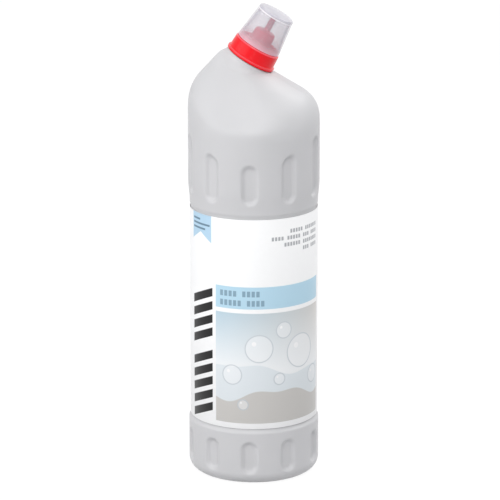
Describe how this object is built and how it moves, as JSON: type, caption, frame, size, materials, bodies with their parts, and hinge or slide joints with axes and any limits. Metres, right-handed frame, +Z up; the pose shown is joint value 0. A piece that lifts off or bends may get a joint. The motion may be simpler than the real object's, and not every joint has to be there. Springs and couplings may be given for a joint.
{
  "type": "toilet cleaner bottle",
  "caption": "Round blown bottle with a slanted neck, rows of grip dimples, a wrapped label, a red closure with nozzle and a clear tapered overcap",
  "frame": {"origin": "centre of the base, on the floor", "axes": "+Z up along the bottle, the neck leans towards +X, front of the label towards -Y"},
  "size_m": [0.0812, 0.0812, 0.2955],
  "materials": {
    "bottle": "satin off-white blown polyethylene",
    "label": "smooth white film",
    "closure": "glossy red moulding",
    "overcap": "clear, slightly clouded moulding"
  },
  "bodies": {
    "bottle_body": {"bottle": "bottle", "label": "label", "closure_with_nozzle": "closure"},
    "overcap_body": {"overcap": "overcap"}
  },
  "joints": [
    {"name": "overcap_lift", "type": "slide", "parent": "bottle_body", "child": "overcap_body", "axis": [0.5, 0, 0.866], "range_m": [0, 0.03]}
  ]
}
